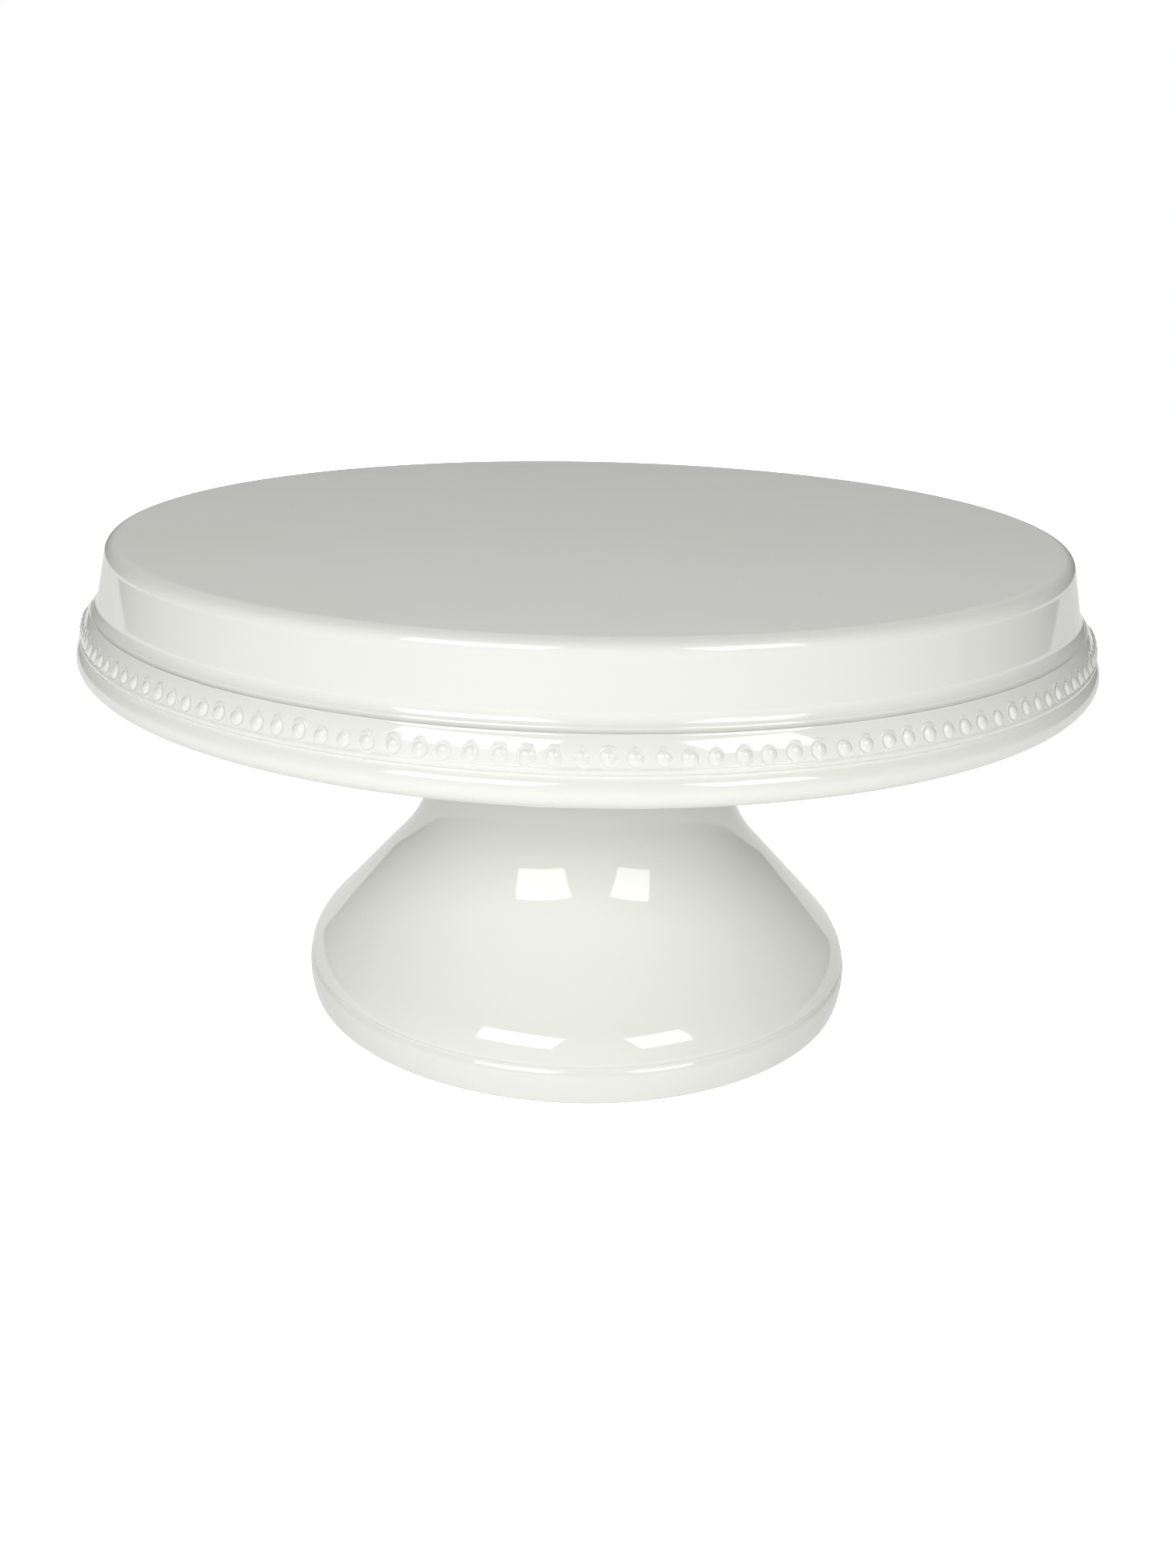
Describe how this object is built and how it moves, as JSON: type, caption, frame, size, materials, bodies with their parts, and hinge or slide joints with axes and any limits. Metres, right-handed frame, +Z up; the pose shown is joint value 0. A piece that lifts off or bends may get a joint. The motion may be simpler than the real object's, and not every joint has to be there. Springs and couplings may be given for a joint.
{
  "type": "cake stand",
  "caption": "Round white glazed stoneware cake stand: flat plate with a deep beaded skirt on a hollow bell pedestal, held by a wing bolt from below.",
  "frame": {"origin": "centre of the pedestal's foot, on the table", "axes": "+Z up along the stand's axis; the stand is round, and the wing bolt's wings lie along X at rest"},
  "size_m": [0.3, 0.3, 0.149],
  "materials": {
    "stoneware_glaze": "glossy white glaze, unglazed foot ring",
    "brass": "turned",
    "silicone": "translucent white, matt",
    "black_rubber": "matt",
    "zinc_steel": "bright zinc plated"
  },
  "bodies": {
    "pedestal": {"pedestal": "stoneware_glaze", "seat_gasket": "silicone"},
    "plate": {"plate": "stoneware_glaze", "bead_trim": "stoneware_glaze", "threaded_insert": "brass"},
    "washers": {"cushion_washer": "black_rubber", "steel_washer": "zinc_steel"},
    "wing_bolt": {"wing_bolt": "zinc_steel"}
  },
  "joints": [
    {"name": "plate_lift", "type": "slide", "parent": "pedestal", "child": "plate", "axis": [0, 0, 1], "range_m": [0, 0.06]},
    {"name": "washer_drop", "type": "slide", "parent": "pedestal", "child": "washers", "axis": [0, 0, 1], "range_m": [-0.01, 0]},
    {"name": "bolt_turn", "type": "hinge", "parent": "washers", "child": "wing_bolt", "pos_m": [0, 0, 0.11], "axis": [0, 0, 1], "range_deg": [-2880, 0]}
  ],
  "couplings": [
    {"joint": "bolt_turn", "follows": "washer_drop", "rad_per_m": 5026.5}
  ]
}
